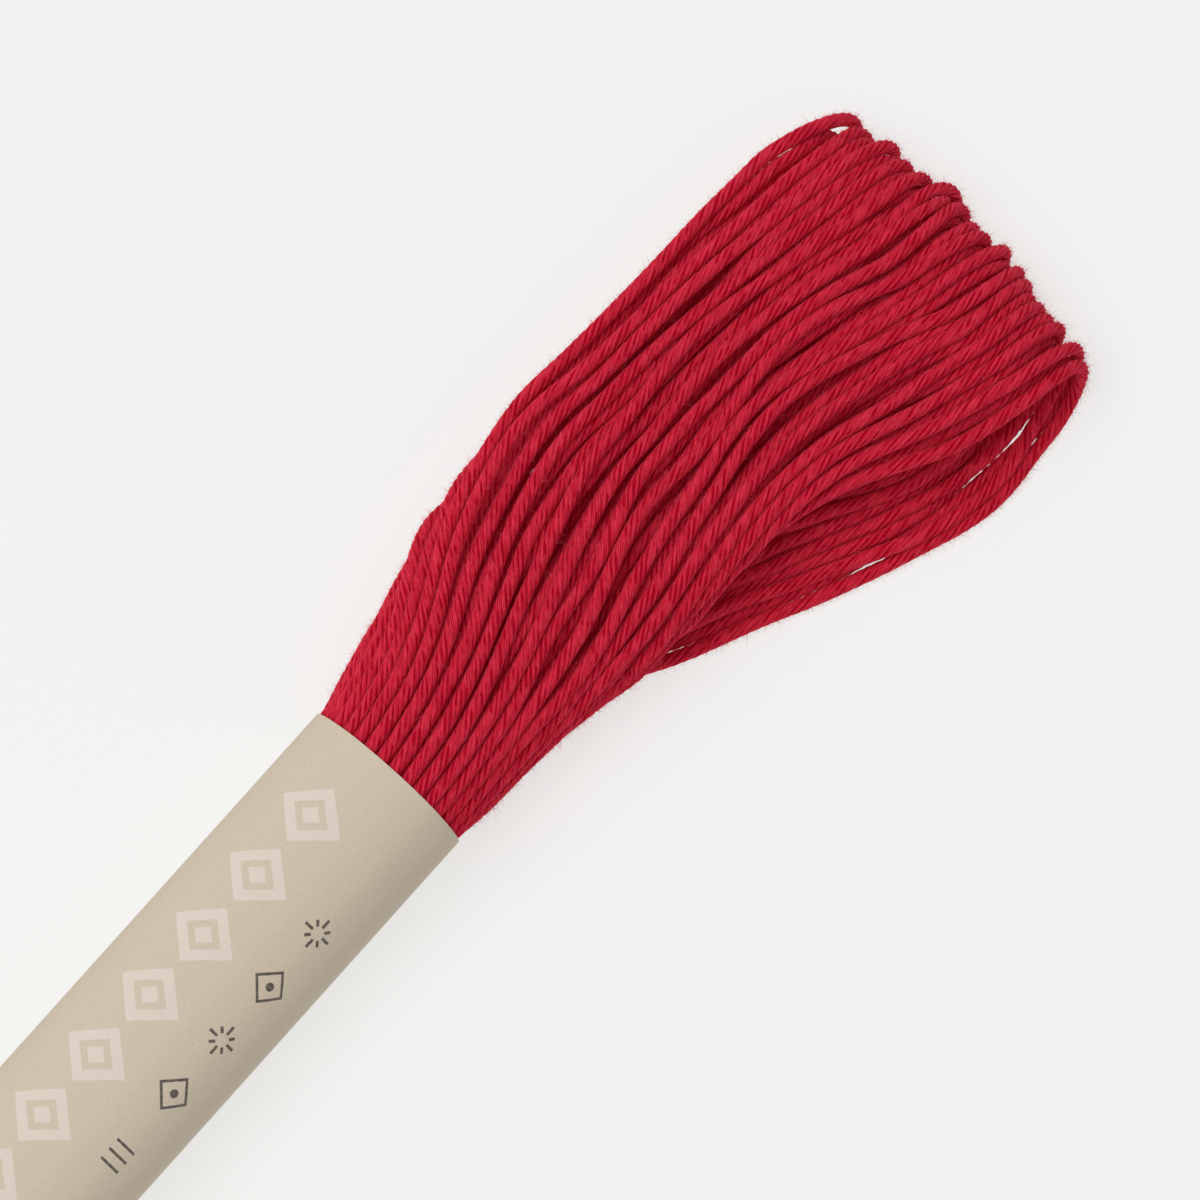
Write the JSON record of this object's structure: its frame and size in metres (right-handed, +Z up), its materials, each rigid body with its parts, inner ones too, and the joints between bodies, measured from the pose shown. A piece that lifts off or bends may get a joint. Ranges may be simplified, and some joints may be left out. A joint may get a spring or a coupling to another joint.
{
  "type": "banded skein of embroidery thread",
  "caption": "Skein of cotton embroidery thread: a long hank held at its waist by a paper band, with a spread loop end beyond each side of it.",
  "frame": {"origin": "middle of the bounding box, on the surface that the skein lies on", "axes": "+X along the skein towards its wider loop end, +Z up from the surface, +Y across it"},
  "size_m": [0.1658, 0.0246, 0.0102],
  "materials": {
    "thread": "soft matt six-ply cotton, faintly fuzzy",
    "band_paper": "matt kraft paper with a pale print"
  },
  "bodies": {
    "root": {"skein": "thread", "paper_band": "band_paper"}
  },
  "joints": []
}
